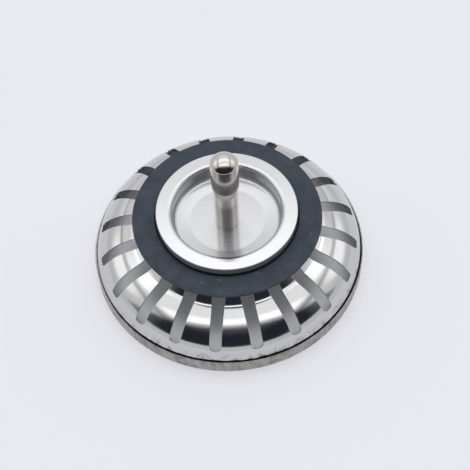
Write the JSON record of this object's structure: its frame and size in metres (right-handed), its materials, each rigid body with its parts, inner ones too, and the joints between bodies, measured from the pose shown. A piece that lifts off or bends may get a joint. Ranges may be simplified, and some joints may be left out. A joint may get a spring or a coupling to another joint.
{
  "type": "sink strainer",
  "caption": "Round slotted stainless basket plug with a rubber seal ring, dished retainer, clip stem and lifting knob, for the waste of a kitchen sink.",
  "frame": {"origin": "middle of the rim's lower edge, as the strainer stands on its open rim", "axes": "+Z along the stem, away from the bowl, so the part is upside down to the way it works in a sink; -Y faces the gap between two slots"},
  "size_m": [0.08, 0.08, 0.0473],
  "materials": {
    "polished_stainless": "pressed stainless sheet, mirror polished, with a duller folded rim",
    "satin_stainless": "pressed stainless sheet, fine satin",
    "turned_stainless": "turned stainless bar, polished",
    "spring_stainless": "bright drawn spring wire",
    "seal_rubber": "moulded rubber, matt",
    "ring_rubber": "moulded rubber, smooth"
  },
  "bodies": {
    "strainer": {"strainer_basket": "polished_stainless", "seal_ring": "seal_rubber", "seal_retainer": "satin_stainless", "knob_washer": "satin_stainless", "lock_washer": "spring_stainless", "lifting_knob": "turned_stainless"},
    "stem_seal": {"stem_o_ring": "ring_rubber"},
    "stem": {"stem": "turned_stainless"}
  },
  "joints": [
    {"name": "stem_draw", "type": "slide", "parent": "strainer", "child": "stem_seal", "axis": [0, 0, 1], "range_m": [0, 0.0063]},
    {"name": "stem_turn", "type": "hinge", "parent": "stem_seal", "child": "stem", "pos_m": [0, 0, 0.0177], "axis": [0, 0, 1], "range_deg": [0, 3240.5]}
  ],
  "couplings": [
    {"joint": "stem_turn", "follows": "stem_draw", "rad_per_m": 8976}
  ]
}
